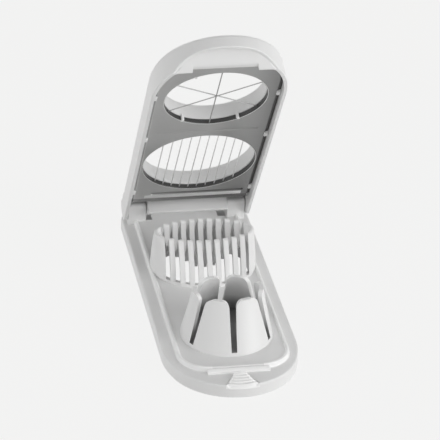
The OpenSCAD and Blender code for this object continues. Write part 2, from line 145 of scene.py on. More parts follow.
def clamp(value, low=0.0, high=1.0):
    """A value kept between two limits."""
    return max(low, min(high, value))


def ease(share):
    """A soft step from 0 to 1."""
    share = clamp(share)
    return share * share * (3 - 2 * share)


# ---- meshes ----
axis_point = Vector((0, AXIS_Y, AXIS_Z)) * MM
OPENED = Matrix.Translation(axis_point) @ Matrix.Rotation(-LID_OPEN, 4, "X") @ Matrix.Translation(-axis_point)


WELD, SLIVER = 0.004, 0.002    # distances within which points and edges are joined


class Shell:
    """Rings of points in millimetres, joined by faces and made into one piece at the end."""

    def __init__(self):
        self.points, self.faces, self.slots = [], [], []

    def ring(self, points):
        """Adds points, and gives their numbers."""
        start = len(self.points)
        self.points += [tuple(p) for p in points]
        return list(range(start, len(self.points)))

    def face(self, corners, slot=0):
        self.faces.append(tuple(corners))
        self.slots.append(slot)

    def strip(self, a, b, closed=True, slot=0):
        """Four-sided faces between two rings of as many points."""
        last = len(a) if closed else len(a) - 1
        for i in range(last):
            j = (i + 1) % len(a)
            self.face((a[i], a[j], b[j], b[i]), slot)

    def loft(self, rings, closed=True):
        """Rings of points with a strip from each to the next."""
        made = [self.ring(r) for r in rings]
        for a, b in zip(made, made[1:]):
            self.strip(a, b, closed)
        return made

    def fill(self, *loops, slot=0):
        """A flat face inside the first loop, with the other loops as its holes."""
        flat = [i for loop in loops for i in loop]
        for corners in tessellate_polygon([[Vector(self.points[i]) for i in loop] for loop in loops]):
            self.face([flat[i] for i in corners], slot)

    def make(self, name, body, materials, node=None, bevel=0.0, opened=False, sharp=38):
        """One piece on a body, rounded by bevel at edges over sharp degrees, in the place of a CAD node."""
        mesh = bpy.data.meshes.new(name)
        mesh.from_pydata([[c * MM for c in p] for p in self.points], [], self.faces)
        mesh.polygons.foreach_set("material_index", self.slots)
        clean(mesh, sharp)
        piece = bpy.data.objects.new(name, mesh)
        bpy.context.scene.collection.objects.link(piece)
        for material in materials:
            mesh.materials.append(material)
        if bevel:
            rounding = piece.modifiers.new("rounding", "BEVEL")
            rounding.width, rounding.segments = bevel * MM, 3
            rounding.limit_method, rounding.angle_limit = "ANGLE", math.radians(sharp)
        piece.modifiers.new("normals", "WEIGHTED_NORMAL").keep_sharp = not bevel
        if opened:
            mesh.transform(OPENED)
        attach(piece, body)
        if node:
            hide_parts(node)


def clean(mesh, sharp):
    """Joins doubled points, turns the faces outwards and shades them smooth up to an angle."""
    work = bmesh.new()
    work.from_mesh(mesh)
    bmesh.ops.remove_doubles(work, verts=work.verts, dist=WELD * MM)
    bmesh.ops.dissolve_degenerate(work, dist=SLIVER * MM, edges=work.edges)
    bmesh.ops.recalc_face_normals(work, faces=work.faces)
    work.to_mesh(mesh)
    work.free()
    mesh.polygons.foreach_set("use_smooth", [True] * len(mesh.polygons))
    mesh.set_sharp_from_angle(angle=math.radians(sharp))


# ---- materials ----
class Shade:
    """A shader socket for Python expressions. node() adds any other kind of node."""

    def __init__(self, tree, socket=None):
        self.tree, self.socket = tree, socket

    def node(self, kind, settings=None, inputs=None, output=0):
        """A node of a kind, with its settings and then the values or links of its inputs."""
        made = self.tree.nodes.new("ShaderNode" + kind)
        for name, value in (settings or {}).items():
            if name == "stops":
                ramp = made.color_ramp
                while len(ramp.elements) < len(value):
                    ramp.elements.new(0.5)
                for stop, (place, level) in zip(ramp.elements, value):
                    stop.position, stop.color = place, (level, level, level, 1)
            else:
                setattr(made, name, value)
        for name, value in (inputs or {}).items():
            if isinstance(value, Shade):
                self.tree.links.new(value.socket, made.inputs[name])
            else:
                made.inputs[name].default_value = value
        return Shade(self.tree, made.outputs[output] if made.outputs else None)

    def maths(self, operation, first, second):
        return self.node("Math", {"operation": operation}, {0: first, 1: second})

    def __add__(self, other):
        return self.maths("ADD", self, other)

    def __sub__(self, other):
        return self.maths("SUBTRACT", self, other)

    def __rsub__(self, other):
        return self.maths("SUBTRACT", other, self)

    def __mul__(self, other):
        return self.maths("MULTIPLY", self, other)

    def __truediv__(self, other):
        return self.maths("DIVIDE", self, other)

    def __rtruediv__(self, other):
        return self.maths("DIVIDE", other, self)

    __radd__, __rmul__ = __add__, __mul__

    def place(self, axis=None):
        """Object coordinates, or one of them."""
        place = self.node("TexCoord", output="Object")
        return self.node("SeparateXYZ", {}, {0: place}, axis) if axis else place

    def noise(self, coords, scale, detail=3.0):
        return self.node("TexNoise", {}, {"Vector": coords, "Scale": scale, "Detail": detail})

    def grain(self, scales):
        """Noise drawn out along an axis, for streaks that run one way."""
        return self.noise(self.node("Mapping", {}, {"Vector": self.place(), "Scale": scales}), 1.0, 4.0)

    def tone(self, factor, level, spread):
        """A grey that wanders by a share of spread to either side of its level."""
        return self.node("Mix", {"data_type": "RGBA"}, {
            "Factor": factor, "A": grey(level * (1 - spread)), "B": grey(level * (1 + spread))}, "Result")

    def shaded(self, tone, along, stops):
        """A tone, multiplied by a ramp of greys, which paints shade on it."""
        ramp = self.node("ValToRGB", {"stops": stops}, {0: along})
        return self.node("Mix", {"data_type": "RGBA", "blend_type": "MULTIPLY"},
                         {"Factor": 1.0, "A": tone, "B": ramp}, "Result")


def new_material(name):
    """A material with an empty tree, and the Shade that adds nodes to it."""
    material = bpy.data.materials.new(name)
    material.use_nodes = True
    material.node_tree.nodes.clear()
    return material, Shade(material.node_tree)


def grey(level):
    """A grey that is a trace warmer than neutral."""
    return (level, level, level * 0.995, 1)


def plastic(name, level, painted_shade_stops=None, painted_shade_range=None):
    """Smooth moulded plastic with faint flow marks, a fine skin and a little uneven gloss. Given a ramp of
    greys over a range of heights, it is darkened by height as painted shade.
    """
    material, shade = new_material(name)
    place = shade.place()
    flow = shade.noise(place, 28.0)
    skin = shade.noise(place, 900.0, 2.0)
    tone = shade.tone(flow, level, 0.015)
    # painted shade: a ramp of greys over a range of heights darkens the tone
    if painted_shade_stops:
        low, high = painted_shade_range
        tone = shade.shaded(tone, (shade.place("Z") - low * MM) / ((high - low) * MM), painted_shade_stops)
    bump = shade.node("Bump", {}, {"Height": skin, "Strength": 0.06, "Distance": 0.00008})
    surface = shade.node("BsdfPrincipled", {}, {
        "Base Color": tone, "Roughness": flow * 0.12 + 0.33, "Specular IOR Level": 0.45, "Normal": bump})
    shade.node("OutputMaterial", {}, {"Surface": surface})
    return material


def steel(name, level, roughness, grain, strength, across=None):
    """Rolled or drawn stainless steel with a fine grain. A ramp of greys, if given, darkens it from left to
    right as painted shade.
    """
    material, shade = new_material(name)
    streaks = shade.grain(grain)
    cloud = shade.noise(shade.place(), 45.0)
    tone = shade.tone(cloud, level, 0.07)
    # painted shade: the ramp darkens the steel from left to right
    if across:
        tone = shade.shaded(tone, shade.place("X") / (STEEL_SPAN * MM) + 0.5, across)
    bump = shade.node("Bump", {}, {"Height": streaks, "Strength": strength, "Distance": 0.00005})
    surface = shade.node("BsdfPrincipled", {}, {
        "Base Color": tone, "Metallic": 1.0,
        "Roughness": streaks * 0.14 + (cloud * 0.08 + roughness), "Normal": bump})
    shade.node("OutputMaterial", {}, {"Surface": surface})
    return material


STEEL_SPAN = 72.0              # width over which the painted shade across the plate changes
LENGTHWAYS = (300, 300, 60)    # grain of the wires
CROSSWAYS = (40, 900, 900)     # grain of the rolled sheet

WHITE = plastic("white_plastic", 0.80)
LID_WHITE = plastic("lid_plastic", 0.80)
# a lighter copy of the white plastic: a painted highlight on the rib, the ledge and the thumb pad
RIB_HIGHLIGHT_WHITE = plastic("rib_painted_highlight_plastic", 0.93)
# inside the cup: plastic lighter than the white as painted light, darkened towards the cup's bottom as
# painted shade
CUP_INSIDE_PAINTED_LIGHT = plastic("cup_inside_painted_light_plastic", 0.93,
                     [(0.0, 0.20), (0.25, 0.35), (0.5, 0.95), (0.8, 1.0), (1.0, 1.0)], (FLOOR_Z, 39.0))
# the plate's steel is darkened towards the right as painted shade
PLATE_STEEL = steel("plate_steel", 0.60, 0.24, CROSSWAYS, 0.12, [(0.0, 1.0), (0.5, 0.92), (1.0, 0.34)])
# darker steel as painted shade, darker still towards the right: on the plate's bent margins, the rib near the
# hinge and the folded edge
MARGIN_PAINTED_SHADE_STEEL = steel("margin_painted_shade_steel", 0.56, 0.26, (300, 40, 900), 0.10,
                     [(0.0, 0.62), (0.5, 0.35), (1.0, 0.20)])
# lighter steel as a painted highlight, on the holes' rolled edges and the bead near the hinge
BEAD_PAINTED_HIGHLIGHT_STEEL = steel("bead_painted_highlight_steel", 0.85, 0.30, CROSSWAYS, 0.05)
# nearly black steel as painted shade inside the holes' lips
LIP_PAINTED_SHADE_STEEL = steel("lip_painted_shade_steel", 0.06, 0.30, LENGTHWAYS, 0.05)
SLICE_STEEL = steel("slicing_wire_steel", 0.90, 0.30, LENGTHWAYS, 0.05)
WEDGE_STEEL = steel("wedge_wire_steel", 0.42, 0.40, LENGTHWAYS, 0.05)
PIN_STEEL = steel("pin_steel", 0.60, 0.26, (60, 600, 600), 0.05)


# ---- base ----
EDGE_R = 1.0                          # rounding of the land's outer edge
POST_FRONT = AXIS_Y - 6.5
POST_IN, POST_OUT = 25.7, 37.0        # inner and outer faces of the hinge posts
REAR_DRAFT = 0.02                     # how little the plateau's rear edges draw in
SWING_R = math.hypot(AXIS_Y - (POST_FRONT - 1.6), AXIS_Z - RIM_Z) + 0.3
PLATEAU_BACK = AXIS_Y - math.sqrt(SWING_R ** 2 - (AXIS_Z - FLOOR_Z) ** 2)
PLATEAU_FACE = 24                     # place in plateau_ring() of the straight front edge
PAD_REAR_W, PAD_FRONT_W = 4.0, 9.5    # half widths of the thumb pad
PAD_REAR_Y = NOSE_Y + 11.9
PAD_FOOT = LAND_Z - 2.4               # where the pad's skirt meets the tray's wall
PAD_ROWS, PAD_COLUMNS = 84, 3         # points down the pad, and on each step of outline()
GRIPS, GRIP_H = 5, 1.5                # ridges of the thumb pad
COMB_WELL = (29.9, 25.6)              # half sizes of the deck's opening under the comb
CUP_WELL = (24.9, 24.9)


def plateau_ring(inset, z):
    """Plateau outline, with its rear edge at floor height and drawn back between the hinge posts."""
    x = PLATEAU_X - inset
    rear, back = POST_FRONT - inset * REAR_DRAFT, PLATEAU_BACK - inset * REAR_DRAFT
    corners = [(POST_IN + 0.3, rear), (POST_IN, rear), (POST_IN, back)]
    sunk = at(corners + [(-cx, cy) for cx, cy in reversed(corners)], min(z, FLOOR_Z))
    front = (arc((PLATEAU_R - PLATEAU_X, PLATEAU_FRONT + PLATEAU_R), PLATEAU_R - inset, 180, 270, 16)
             + arc((PLATEAU_X - PLATEAU_R, PLATEAU_FRONT + PLATEAU_R), PLATEAU_R - inset, 270, 360, 16))
    return [(x, rear, z)] + sunk + [(-x, rear, z)] + at(front, z)


def pad_columns():
    """Places in outline() that the thumb pad takes up, from left to right."""
    return [i for i, (x, y) in enumerate(outline(0)) if y < NOSE_Y + 8 and abs(x) < PAD_FRONT_W]


def land_edge(shell, wall_top):
    """The land's rounded outer edge, left open where the thumb pad lies on the nose. Gives its inner loop."""
    pad = pad_columns()
    around = list(range(pad[-1] + 1, len(outline(0)))) + list(range(pad[0]))
    rounding = [math.radians(15) * i for i in range(7)]
    edge = [(EDGE_R * (1 - math.cos(a)), LAND_Z - EDGE_R * (1 - math.sin(a))) for a in rounding]
    rings = [[wall_top[i] for i in around]]
    for inset, z in edge + [(EDGE_R + 0.5, LAND_Z)]:
        loop = outline(inset)
        rings.append(shell.ring(at([loop[i] for i in around], z)))
    for a, b in zip(rings, rings[1:]):
        shell.strip(a, b, False)
    return rings[-1] + shell.ring([(-PAD_REAR_W, PAD_REAR_Y, LAND_Z), (PAD_REAR_W, PAD_REAR_Y, LAND_Z)])


def raised_rib(shell):
    """The rise from the land over the rib to the plateau. Gives its outer and inner loops."""
    rise = [(-1.0, LAND_Z), (-0.6, LAND_Z), (-0.3, LAND_Z + 0.08), (-0.1, LAND_Z + 0.3)]
    rib = [(0.0, LAND_Z + 0.7), (0.12, RIB_Z - 0.75), (0.25, RIB_Z - 0.35), (0.5, RIB_Z - 0.1),
           (0.85, RIB_Z), (RIB_W - 0.55, RIB_Z), (RIB_W - 0.25, RIB_Z - 0.12), (RIB_W - 0.08, RIB_Z - 0.4),
           (RIB_W + 0.06, FLOOR_Z + 0.3), (RIB_W + 0.3, FLOOR_Z + 0.06)]
    run_out = [(RIB_W + 0.6, FLOOR_Z), (RIB_W + 1.1, FLOOR_Z)]
    rings = [shell.ring(plateau_ring(inset, z)) for inset, z in rise + rib + run_out]
    # the strips over the rib, from first to last, take slot 1: the lighter plastic as a painted highlight
    first, last = len(rise) - 1, len(rise) + len(rib) - 2
    for number, (a, b) in enumerate(zip(rings, rings[1:])):
        shell.strip(a, b, slot=1 if first <= number <= last else 0)
        # the straight front edge of the strip just made stays in the plain white, without the painted
        # highlight
        shell.slots[PLATEAU_FACE - len(a)] = 0
    return rings[0], rings[-1]


def base_tray():
    """The hollow tray, with wells for the comb and the cup, and pockets for the lid's cheeks."""
    shell = Shell()
    wall = [(WALL, DECK_Z), (WALL, 0.3), (WALL - 0.3, 0.0), (0.35, 0.0), (0.1, 0.12), (0.0, 0.4),
            (0.0, PAD_FOOT)]
    walls = shell.loft([at(outline(inset), z) for inset, z in wall])
    land = land_edge(shell, walls[-1])
    plateau_foot, plateau_top = raised_rib(shell)
    pockets = []
    for side, _ in SIDES:
        inner, outer = side * (POST_IN - 4.8), side * POST_IN
        front, back = AXIS_Y - 1.5, AXIS_Y + 5.5
        corners = [(inner, front), (outer, front), (outer, back), (inner, back)]
        pockets.append(shell.loft([at(corners, LAND_Z), at(corners, DECK_Z)]))
    shell.fill(land, plateau_foot, *[pocket[0] for pocket in pockets])
    wells = [shell.loft([at(oval(*half, y), FLOOR_Z), at(oval(*half, y), DECK_Z)])
             for half, y in ((COMB_WELL, COMB_Y), (CUP_WELL, CUP_Y))]
    shell.fill(plateau_top, *[well[0] for well in wells])
    shell.fill(walls[0], *[hole[1] for hole in wells + pockets])
    shell.make("base_shell", "base", [WHITE, RIB_HIGHLIGHT_WHITE], "base_tray")


def slab(profile, x0, x1, name, body, bevel, opened=False, material=WHITE):
    """A bar along X with the given outline of (y, z) points."""
    shell = Shell()
    for end in shell.loft([[(x, y, z) for y, z in profile] for x in (x0, x1)]):
        shell.face(end)
    shell.make(name, body, [material], bevel=bevel, opened=opened)


def hinge_posts():
    """Two posts with a straight front and a round back about the hinge axis."""
    top, boss_r, corner_r = CEILING_Z - 0.8, 4.6, 2.4
    front_corner = arc((POST_FRONT + corner_r, top - corner_r), corner_r, 180, 90, 6)[1:]
    profile = ([(POST_FRONT, LAND_Z - 1), (POST_FRONT, top - corner_r)] + front_corner
               + arc((AXIS_Y, AXIS_Z), boss_r, 62, 0, 8) + [(AXIS_Y + boss_r, LAND_Z - 1)])
    for side, name in SIDES:
        slab(profile, side * POST_IN, side * POST_OUT, "hinge_post_" + name, "base", 0.45)


def ledge():
    """The low block in front of the plateau, under the notch of the lid."""
    back, front, top, half_w = PLATEAU_FRONT - 0.3, PLATEAU_FRONT - 2.8, RIM_Z + NOTCH_H - 0.3, 18.2
    profile = [(back, LAND_Z - 1), (back, top + 0.05), (front + 1.7, top), (front + 0.3, top - 0.7),
               (front, top - 1.2), (front - 0.05, LAND_Z - 1)]
    # the ledge is in the lighter plastic, a painted highlight
    slab(profile, -half_w, half_w, "plateau_ledge", "base", 0.25, material=RIB_HIGHLIGHT_WHITE)


def pad_height(share, across, front_y):
    """Height of the thumb pad at a share of the way to the nose and a share of its half width."""
    # inside is 0 at the pad's sides and rear, and step is the place on a ridge, which curves back at its ends
    inside = ease((1 - abs(across)) * 4.5) * ease(share * 10)
    step = clamp((share + 0.06 * across * across - 0.05) / 0.93) * GRIPS % 1.0
    ridge = ease(step / 0.55) * (1 - ease((step - 0.72) / 0.28)) * ease((1 - share) * 14)
    slope = 0.9 - 2.3 * share ** 1.3
    from_edge = (1 - share) * (PAD_REAR_Y - front_y)
    drop = EDGE_R * (1 - math.sqrt(1 - clamp(1 - from_edge / EDGE_R) ** 2))
    return max(LAND_Z + inside * (slope + GRIP_H * ridge) - drop * (1 - 0.1 * inside), PAD_FOOT + 0.05)


def thumb_pad():
    """A fan-shaped pad that slopes down over the nose, with grip ridges across it."""
    shell = Shell()
    edge, columns = outline(0), pad_columns()
    nose = edge[columns[0] - 1:columns[-1] + 2]
    fronts = [tuple(blend(a[k], b[k], part / PAD_COLUMNS) for k in (0, 1))
              for a, b in zip(nose, nose[1:]) for part in range(PAD_COLUMNS)] + [nose[-1]]
    half_w = nose[-1][0]
    top = []
    for share in [row / PAD_ROWS for row in range(PAD_ROWS + 1)]:
        top.append(shell.ring([(blend(x / half_w * PAD_REAR_W, x, share), blend(PAD_REAR_Y, y, share),
                                pad_height(share, x / half_w, y)) for x, y in fronts]))
    for a, b in zip(top, top[1:]):
        shell.strip(a, b, False)
    border = ([row[0] for row in top] + top[-1][1:-1] + [row[-1] for row in reversed(top)]
              + top[0][-2:0:-1])
    skirt = shell.ring([(*shell.points[i][:2], PAD_FOOT) for i in border])
    shell.strip(border, skirt)
    shell.fill(skirt)
    # the whole pad is in the lighter plastic, a painted highlight
    shell.make("thumb_pad", "base", [RIB_HIGHLIGHT_WHITE], sharp=50)


# ---- comb ----
COMB_H, COMB_T = 25.0, 2.6
COMB_TOP = FLOOR_Z + COMB_H
COMB_FOOT = SLOT_Z - 0.2              # where the fins stand in the closed wall below them
DOME_X, DOME_Y = 30.5, 14.5           # half sizes of the comb at its top
SPREAD_X, SPREAD_Y = 1.8, 13.5        # how much wider each is at its foot
CREST_R = 1.25                        # rounding of the fins' crests
BOWL_X, BOWL_Y, BOWL_H = 27.9, 11.9, 19.0
BOWL_RIM = 0.93                       # share of the bowl's curve at which the crest takes over
END_DEPTH = 0.24                      # share of that curve that the comb's end walls line


def dome(z, inset=0.0):
    """Half sizes of the comb's outside at a height."""
    bulge = math.cos(math.radians(90) * clamp((z - FLOOR_Z) / COMB_H))
    return DOME_X + SPREAD_X * bulge - inset, DOME_Y + SPREAD_Y * bulge - inset


def bowl(share, grow=0.0):
    """Half sizes and height of the bowl, from its bottom at 0 to its mouth at 1."""
    wide = math.sin(math.radians(12 + 78 * share))
    return BOWL_X * wide + grow, BOWL_Y * wide + grow, COMB_TOP - (BOWL_H + grow) * (1 - share)


def half_depth(half_x, half_y, x):
    """Half of an ellipse's size along Y, at a place along X."""
    return half_y * math.sqrt(max(0.0, 1 - (x / half_x) ** 2))


def fin_top(x):
    """A fin's upper outline in (y, z): up one flank, over its crest, through the bowl and down the other."""
    up = [(half_depth(*dome(z), x), z) for z in
          [blend(COMB_FOOT, COMB_TOP - CREST_R, i / 14) for i in range(15)]]
    mouth = half_depth(BOWL_X, BOWL_Y, x)
    over = [(blend(up[-1][0], mouth, (1 - math.cos(a)) / 2), COMB_TOP - CREST_R + CREST_R * math.sin(a))
            for a in [math.pi * i / 8 for i in range(1, 8)]]
    down = []
    for i in range(15):
        half_x, half_y, z = bowl(BOWL_RIM * (1 - i / 14))
        if x < half_x * 0.985:
            down.append((half_depth(half_x, half_y, x), z))
    bottom = [(down[-1][0] * side, down[-1][1] - 0.25) for side in (0.5, -0.5)]
    half = up + over + down
    return half + bottom + [(-y, z) for y, z in reversed(half)]


def fin_hollow(x):
    """Outline in (y, z) of half the hollow in a fin: up inside the flank, and down under the bowl."""
    out, back = [], []
    for z in [blend(COMB_FOOT, COMB_TOP - 1.5 * COMB_T, i / 24) for i in range(25)]:
        outside = half_depth(*dome(z + 1.2, COMB_T), x)
        under = [half_depth(half_x, half_y, x) for half_x, half_y, bowl_z
                 in [bowl(step / 40, COMB_T) for step in range(41)] if bowl_z >= z]
        if under and outside - under[0] > 0.4:
            out.append((outside, z))
            if under[0] > 0.6:
                back.append((under[0], z))
    return out + back[::-1]


def comb_fin(shell, middle):
    """A fin between two slots, hollow under the bowl."""
    half = (WIRE_PITCH - SLOT_W) / 2
    hollow, middle_top = fin_hollow(abs(middle)), fin_top(abs(middle))
    rings = []
    for x in (middle - half, middle, middle + half):
        top = fin_top(abs(x))
        if len(top) != len(middle_top):
            # the bowl's outline has other points at this face of the fin, so it takes the middle's
            top = middle_top
        rings.append([(x, COMB_Y + y, z) for y, z in top] + [(x, COMB_Y - y, z) for y, z in hollow]
                     + [(x, COMB_Y + y, z) for y, z in reversed(hollow)])
    made = shell.loft(rings)
    shell.face(made[0])
    shell.face(made[-1])


def comb_end(shell, side):
    """The closed wall at one end of the comb, cut off square at the last slot."""
    cut = (WIRES - 1) / 2 * WIRE_PITCH + SLOT_W / 2
    columns = 18

    def level(half_x, half_y, z):
        span = math.acos(clamp(cut / half_x, 0, 0.9999))
        turns = [span * (2 * c / columns - 1) for c in range(columns + 1)]
        return [(side * half_x * math.cos(a), COMB_Y + half_y * math.sin(a), z) for a in turns]

    outside = [level(*dome(z), z) for z in [blend(COMB_FOOT, COMB_TOP - CREST_R, i / 12) for i in range(13)]]
    inside = [level(*bowl(BOWL_RIM - END_DEPTH * i / 5)) for i in range(6)]
    crest = []
    for a in [math.pi * i / 8 for i in range(1, 8)]:
        share, z = (1 - math.cos(a)) / 2, COMB_TOP - CREST_R + CREST_R * math.sin(a)
        crest.append([(side * max(cut, abs(blend(p[0], q[0], share))), blend(p[1], q[1], share), z)
                      for p, q in zip(outside[-1], inside[0])])
    made = shell.loft(outside + crest + inside, closed=False)
    shell.face([row[0] for row in made] + made[-1][-2:0:-1] + [row[-1] for row in reversed(made)])
    shell.face(made[0])
    shell.face(made[-1])


def comb():
    """The saddle that holds an egg, with a slot for each slicing wire."""
    shell = Shell()
    for fin in range(WIRES - 1):
        comb_fin(shell, (fin - (WIRES - 2) / 2) * WIRE_PITCH)
    for side, _ in SIDES:
        comb_end(shell, side)
    wall = [(COMB_T, FLOOR_Z), (0.0, FLOOR_Z), (0.0, FLOOR_Z + 1.0), (0.0, SLOT_Z), (COMB_T, SLOT_Z)]
    made = shell.loft([at(oval(*dome(z, inset), COMB_Y), z) for inset, z in wall])
    shell.strip(made[-1], made[0])
    shell.make("comb", "base", [WHITE], "comb_cradle", bevel=0.3, sharp=42)


# ---- cup ----
PETALS = 6
CUP_FOOT_R, CUP_TOP_X, CUP_TOP_Y = 27.3, 20.8, 15.8
CUP_H, CUP_T = 30.0, 2.4
CUP_TOP = FLOOR_Z + CUP_H
GAP_FOOT, GAP_TOP = 3.2, 4.4          # width of the slots between the petals
PETAL_CORNER = 4.0
PETAL_SHOULDER = CUP_TOP - PETAL_CORNER
CUP_FLARE = 1.12                      # over 1, the cup's flanks are hollow


def cup_half(z, inset):
    """Half sizes of the cup at a height: round at the foot and oval at the top."""
    lean = (1 - clamp((z - FLOOR_Z) / CUP_H)) ** CUP_FLARE
    return blend(CUP_TOP_X, CUP_FOOT_R, lean) - inset, blend(CUP_TOP_Y, CUP_FOOT_R, lean) - inset


def petal_edge(half_x, half_y, line, gap):
    """Turn round the cup where a petal's edge stands off the middle line of the slot beside it."""
    across, along = half_x * math.sin(line), half_y * math.cos(line)
    turn = math.atan2(across, along)
    turn += 2 * math.pi * round((line - turn) / (2 * math.pi))
    return turn + math.asin(gap / math.hypot(across, along))


def petal_ring(z, inset, columns):
    """Points round the cup at a height, from edge to edge of each petal."""
    half_x, half_y = cup_half(z, inset)
    into = clamp((z - PETAL_SHOULDER) / PETAL_CORNER)
    gap = blend(GAP_FOOT, GAP_TOP, clamp((z - SLOT_Z) / (CUP_TOP - SLOT_Z))) / 2
    gap += PETAL_CORNER * (1 - math.sqrt(max(0.0, 1 - into * into))) * 0.92
    ring = []
    for middle in [360 / PETALS * petal for petal in range(PETALS)]:
        start = petal_edge(half_x, half_y, math.radians(middle - 180 / PETALS), gap)
        end = petal_edge(half_x, half_y, math.radians(middle + 180 / PETALS), -gap)
        for a in [blend(start, end, c / columns) for c in range(columns + 1)]:
            ring.append((half_x * math.cos(a), CUP_Y + half_y * math.sin(a), z))
    return ring


def cup():
    """Six petals on a closed foot, with slots for the crossed wires."""
    shell = Shell()
    columns = 12
    foot = [FLOOR_Z - 0.1, FLOOR_Z + 0.8]
    petal_z = [blend(SLOT_Z, PETAL_SHOULDER, i / 9) for i in range(10)]
    petal_z += [PETAL_SHOULDER + PETAL_CORNER * math.sin(math.radians(9) * i) for i in range(1, 11)]
    below = [shell.ring(petal_ring(z, 0.0, columns)) for z in foot]
    outer = [shell.ring(petal_ring(z, 0.0, columns)) for z in petal_z]
    inner = [shell.ring(petal_ring(z, CUP_T, columns)) for z in petal_z]
    shell.strip(below[0], below[1])
    shell.strip(below[1], outer[0])
    for petal in range(PETALS):
        first, last = petal * (columns + 1), petal * (columns + 1) + columns
        following = (last + 1) % len(outer[0])
        # the inside faces, the petals' edges and the cup's floor take slot 1, with painted light near the top
        # and painted shade towards the bottom
        for rings, slot in ((outer, 0), (inner, 1)):
            for a, b in zip(rings, rings[1:]):
                shell.strip(a[first:last + 1], b[first:last + 1], False, slot)
        shell.strip(outer[-1][first:last + 1], inner[-1][first:last + 1], False)
        for edge in (first, last):
            for a, b, c, d in zip(outer, outer[1:], inner[1:], inner):
                shell.face((a[edge], b[edge], c[edge], d[edge]), 1)
        shell.face((outer[0][last], outer[0][following], inner[0][following], inner[0][last]), 1)
    shell.face(inner[0], 1)
    shell.face(below[0])
    shell.make("petal_cup", "base", [WHITE, CUP_INSIDE_PAINTED_LIGHT], "wedge_cradle", bevel=0.4, sharp=42)


# ---- lid ----
SCOOP_Y = CHORD_REAR_Y - 0.9          # where the finger scoop under the nose begins
BODY_REAR = AXIS_Y + 0.5
CORNER_IN = 4.0                       # inside corners beside the straight wall across the nose
LID_DRAFT = 0.9                       # how far the walls lean in up to the crown
CROWN_R = 2.4                         # rounding between the walls and the crown
NOTCH_SIDE = 0.25                     # width over which the notch's ends rise
BEAD_X = 33.0                         # half width of the bead along the scoop's outer edge
REAR_R, EAR_R, CHEEK_R = 7.8, 7.6, 5.3    # round parts of the lid about the hinge axis


def scoop_z(y):
    """Height of the finger scoop under the nose."""
    share = clamp((SCOOP_Y - y) / (SCOOP_Y - NOSE_Y - 0.8))
    return RIM_Z + (LIP_Z - RIM_Z) * math.sin(math.radians(90) * share) ** 0.95


def on_side(y):
    """A place on the lid's straight right side, as a function of inset."""
    return lambda inset: (HALF_W - inset, y)


def on_round(centre_x, centre_y, radius, angle):
    """A place on a round stretch of the lid's outline, as a function of inset."""
    along, up = math.cos(math.radians(angle)), math.sin(math.radians(angle))
    return lambda inset: (centre_x + (radius - inset) * along, centre_y + (radius - inset) * up)


def mirrored(place):
    """The same place on the lid's left."""
    return lambda inset: (-place(inset)[0], place(inset)[1])


def lid_stations():
    """Places round the lid, from right rear to left rear, each with the rim's inner edge beside it."""
    nose_in = NOSE_R - WALL
    corner_y = CHORD_REAR_Y + CORNER_IN
    corner_x = math.sqrt((nose_in - CORNER_IN) ** 2 - (corner_y - NOSE_CY) ** 2)
    tangent = math.degrees(math.atan2(corner_y - NOSE_CY, corner_x))
    corner_end = -math.degrees(math.acos(corner_x / NOSE_R))
    rear = [BODY_REAR] + [AXIS_Y - back for back in (4.5, 10.5)]
    middle = [AXIS_Y - 24.5 - 22 * i for i in range(6)]
    stations = [(on_side(y), (HALF_W - WALL, y)) for y in rear + middle + [FLANK_CY]]
    flank = [on_round(-FLANK_X, FLANK_CY, FLANK_R, -FLANK_A * i / 8) for i in range(1, 9)]
    nose = [on_round(0, NOSE_CY, NOSE_R, blend(-FLANK_A, tangent, i / 6)) for i in range(1, 7)]
    stations += [(place, place(WALL)) for place in flank + nose]
    for i in range(1, 9):
        a = math.radians(blend(tangent, -90, i / 8))
        stations.append((on_round(0, NOSE_CY, NOSE_R, blend(tangent, corner_end, i / 8)),
                         (corner_x + CORNER_IN * math.cos(a), corner_y + CORNER_IN * math.sin(a))))
    for x in (24, 21.5, NOTCH_X + NOTCH_SIDE, NOTCH_X, 16, 13, 10, 7, 3.5, 0):
        angle = -math.degrees(math.acos(x / NOSE_R))
        stations.append((on_round(0, NOSE_CY, NOSE_R, angle), (x, CHORD_REAR_Y)))
    return stations + [(mirrored(place), (-x, y)) for place, (x, y) in stations[-2::-1]]


def under_lid(place, inner):
    """Points across the rim and the scoop, from the inner edge to the outer wall."""
    outer = place(0.0)
    reach = math.dist(outer, inner)
    lip_in = place(min(2.0, reach * 0.6))
    bead = ease(clamp(1 - abs(outer[0]) / BEAD_X) * 4) if outer[1] < SCOOP_Y else 0.0
    notch = 0.0
    if inner[1] < CHORD_REAR_Y + 0.01:
        notch = RIM_Z + NOTCH_H * clamp((NOTCH_X + NOTCH_SIDE - abs(inner[0])) / NOTCH_SIDE)
    points = []
    edge = [(0.0, 0.4), (0.012, 0.12), (0.035, 0.0)]
    across = [(share, 0.0) for share in (0.08, 0.16, 0.26, 0.38, 0.5, 0.62, 0.74, 0.86, 0.96, 1.0)]
    for share, lift in edge + across:
        x, y = (blend(inner[k], lip_in[k], share) for k in (0, 1))
        points.append((x, y, max(scoop_z(y), notch) + lift))
    for inset, lift in ((1.75, 0.0), (0.75, 0.0), (0.3, 0.12), (0.06, 0.4)):
        x, y = place(min(inset, reach * 0.55 * inset / 2))
        points.append((x, y, scoop_z(outer[1]) - bead + lift))
    return points


